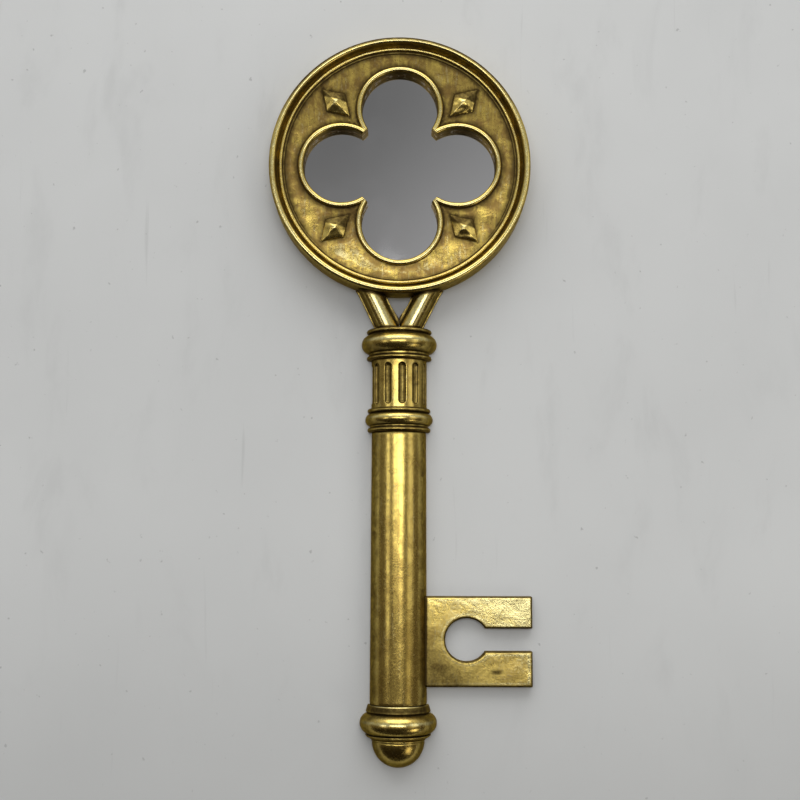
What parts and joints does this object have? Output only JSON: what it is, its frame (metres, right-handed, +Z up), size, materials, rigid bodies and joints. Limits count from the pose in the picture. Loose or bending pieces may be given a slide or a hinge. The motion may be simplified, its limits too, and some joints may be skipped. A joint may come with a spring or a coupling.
{
  "type": "decorative wall key",
  "caption": "Flat-backed gilded wall key: round bow with a quatrefoil mirror and diamond studs, forked neck, turned collars, fluted drum, shank, notched bit and domed end.",
  "frame": {"origin": "on the wall plane at the key's middle, at the hook that the raised hanging ring rests on", "axes": "+Z up along the key towards the bow, +Y into the wall, -Y to the front, +X towards the bit"},
  "size_m": [0.22, 0.0317, 0.6084],
  "materials": {
    "gilt_moulding": "carved wood with burnished antique gold leaf and dark glaze in the grooves",
    "gilt_field": "wood panel with brushed, rubbed antique gold leaf",
    "gilt_stud": "carved wood with burnished antique gold leaf",
    "gilt_turned": "turned wood with burnished antique gold leaf and dark glaze",
    "gilt_bit": "flat wood with rubbed, pitted antique gold leaf",
    "mirror": "silvered glass",
    "board": "brown hardboard",
    "steel": "zinc-plated steel",
    "dowel_wood": "plain beech"
  },
  "bodies": {
    "key": {"bow_rim": "gilt_moulding", "bow_plate": "gilt_field", "inner_bead_ring": "gilt_moulding", "quatrefoil_bead": "gilt_moulding", "stud_upper_right": "gilt_stud", "stud_upper_left": "gilt_stud", "stud_lower_left": "gilt_stud", "stud_lower_right": "gilt_stud", "mirror_glass": "mirror", "backing_board": "board", "plate_screws": "steel", "turn_button_screws": "steel", "hanger_plate": "steel", "hanger_screws": "steel", "left_arm": "gilt_turned", "right_arm": "gilt_turned", "arm_dowels": "dowel_wood", "upper_collar": "gilt_turned", "fluted_drum": "gilt_turned", "lower_collar": "gilt_turned", "shank": "gilt_turned", "bit": "gilt_bit", "bit_dowels": "dowel_wood", "end_collar": "gilt_turned", "finial_dome": "gilt_turned", "finial_dowel": "dowel_wood", "back_strap": "steel", "strap_screws": "steel"},
    "turn_button_upper_right": {"turn_button_upper_right": "steel"},
    "turn_button_upper_left": {"turn_button_upper_left": "steel"},
    "turn_button_lower_left": {"turn_button_lower_left": "steel"},
    "turn_button_lower_right": {"turn_button_lower_right": "steel"},
    "hanging_ring": {"hanging_ring": "steel"}
  },
  "joints": [
    {"name": "ring_swing", "type": "hinge", "parent": "key", "child": "hanging_ring", "pos_m": [0, -0.00312, -0.0091], "axis": [1, 0, 0], "range_deg": [-4, 175]},
    {"name": "button_upper_right_turn", "type": "hinge", "parent": "key", "child": "turn_button_upper_right", "pos_m": [0.06788, -0.0043, -0.02972], "axis": [0, -1, 0], "range_deg": [-90, 90]},
    {"name": "button_upper_left_turn", "type": "hinge", "parent": "key", "child": "turn_button_upper_left", "pos_m": [-0.06788, -0.0043, -0.02972], "axis": [0, -1, 0], "range_deg": [-90, 90]},
    {"name": "button_lower_left_turn", "type": "hinge", "parent": "key", "child": "turn_button_lower_left", "pos_m": [-0.06788, -0.0043, -0.16548], "axis": [0, -1, 0], "range_deg": [-90, 90]},
    {"name": "button_lower_right_turn", "type": "hinge", "parent": "key", "child": "turn_button_lower_right", "pos_m": [0.06788, -0.0043, -0.16548], "axis": [0, -1, 0], "range_deg": [-90, 90]}
  ]
}
